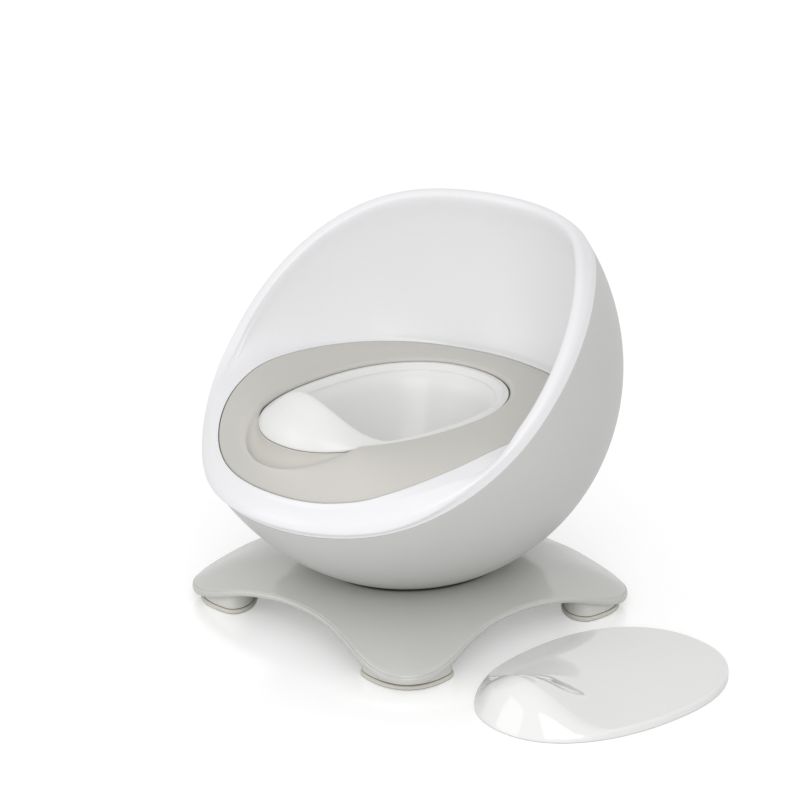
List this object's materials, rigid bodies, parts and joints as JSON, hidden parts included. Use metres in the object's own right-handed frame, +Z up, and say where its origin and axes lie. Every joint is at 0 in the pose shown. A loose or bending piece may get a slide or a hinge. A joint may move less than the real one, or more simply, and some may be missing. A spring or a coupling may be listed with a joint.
{
  "type": "potty chair",
  "caption": "Child's potty chair: a ball-shaped shell on a four-cornered base, with a lift-off seat ring, a lift-out pot with a splash guard, and a loose lid.",
  "frame": {"origin": "centre of the bounding box in plan, on the floor that the feet and the lid stand on", "axes": "+Z up, the chair faces -Y, +X towards the lid"},
  "size_m": [0.5002, 0.3684, 0.332],
  "materials": {
    "base_grey": "glossy mid-grey moulded plastic",
    "outer_grey": "glossy light-grey moulded plastic",
    "shell_white": "glossy white moulded plastic",
    "ring_greige": "satin warm-grey moulded plastic",
    "pot_white": "glossy white moulded plastic",
    "foot_grey": "light-grey moulded plastic",
    "soft_pad": "matt pale soft rubber",
    "screw_steel": "plain steel screw"
  },
  "bodies": {
    "chair": {"base_platform": "base_grey", "outer_shell": "outer_grey", "inner_shell": "shell_white", "foot_cup_1": "foot_grey", "foot_cup_2": "foot_grey", "foot_cup_3": "foot_grey", "foot_cup_4": "foot_grey", "foot_pad_1": "soft_pad", "foot_pad_2": "soft_pad", "foot_pad_3": "soft_pad", "foot_pad_4": "soft_pad", "foot_screw_1": "screw_steel", "foot_screw_2": "screw_steel", "foot_screw_3": "screw_steel", "foot_screw_4": "screw_steel", "base_screw_1": "screw_steel", "base_screw_2": "screw_steel", "base_screw_3": "screw_steel", "base_screw_4": "screw_steel", "shell_screw_1": "screw_steel", "shell_screw_2": "screw_steel", "shell_screw_3": "screw_steel", "shell_screw_4": "screw_steel"},
    "seat": {"seat_ring": "ring_greige", "ring_grip_1": "soft_pad", "ring_grip_2": "soft_pad", "ring_grip_3": "soft_pad", "ring_grip_4": "soft_pad"},
    "pot": {"pot": "pot_white"},
    "lid": {"lid": "pot_white"}
  },
  "joints": [
    {"name": "seat_ring_lift", "type": "slide", "parent": "chair", "child": "seat", "axis": [0, -0.1045, 0.9945], "range_m": [0, 0.22]},
    {"name": "pot_lift", "type": "slide", "parent": "seat", "child": "pot", "axis": [0, 0, 1], "range_m": [0, 0.24]},
    {"name": "lid_lift", "type": "slide", "parent": "chair", "child": "lid", "axis": [0.342, 0, 0.9397], "range_m": [0, 0.35]}
  ]
}
